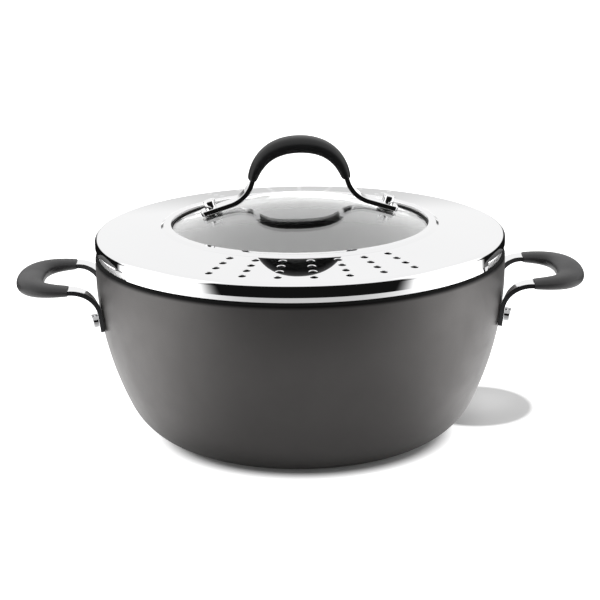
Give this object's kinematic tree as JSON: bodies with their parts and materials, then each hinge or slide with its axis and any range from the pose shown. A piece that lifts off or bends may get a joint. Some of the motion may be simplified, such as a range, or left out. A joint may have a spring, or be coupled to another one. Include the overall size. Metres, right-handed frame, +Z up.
{
  "type": "casserole_pot",
  "caption": "Dark anodised casserole pot with silicone-sleeved steel handles and a lift-off steel and glass lid that strains through holes in its ring",
  "frame": {"origin": "the middle of the flat base, on the surface that the pot stands on", "axes": "+X runs through the right side handle, -Y is the front with the larger straining holes, +Z is up"},
  "size_m": [0.4006, 0.288, 0.215],
  "materials": {
    "anodised_aluminium": "satin, dark warm grey",
    "polished_steel": "mirror polished",
    "grip_silicone": "soft satin black",
    "seal_silicone": "matte black",
    "lid_glass": "clear, polished"
  },
  "bodies": {
    "pot": {"pot_body": "anodised_aluminium", "right_side_strap": "polished_steel", "right_side_grip": "grip_silicone", "right_rear_rivet": "polished_steel", "right_front_rivet": "polished_steel", "left_side_strap": "polished_steel", "left_side_grip": "grip_silicone", "left_rear_rivet": "polished_steel", "left_front_rivet": "polished_steel"},
    "lid": {"lid_ring": "polished_steel", "glass_seal": "seal_silicone", "lid_glass": "lid_glass", "lid_strap": "polished_steel", "lid_grip": "grip_silicone", "right_lid_bolt": "polished_steel", "right_foot_pad": "seal_silicone", "right_inner_washer": "seal_silicone", "right_flange_nut": "polished_steel", "left_lid_bolt": "polished_steel", "left_foot_pad": "seal_silicone", "left_inner_washer": "seal_silicone", "left_flange_nut": "polished_steel"}
  },
  "joints": [
    {"name": "lid_lift", "type": "slide", "parent": "pot", "child": "lid", "axis": [0, 0, 1], "range_m": [0, 0.16]}
  ]
}
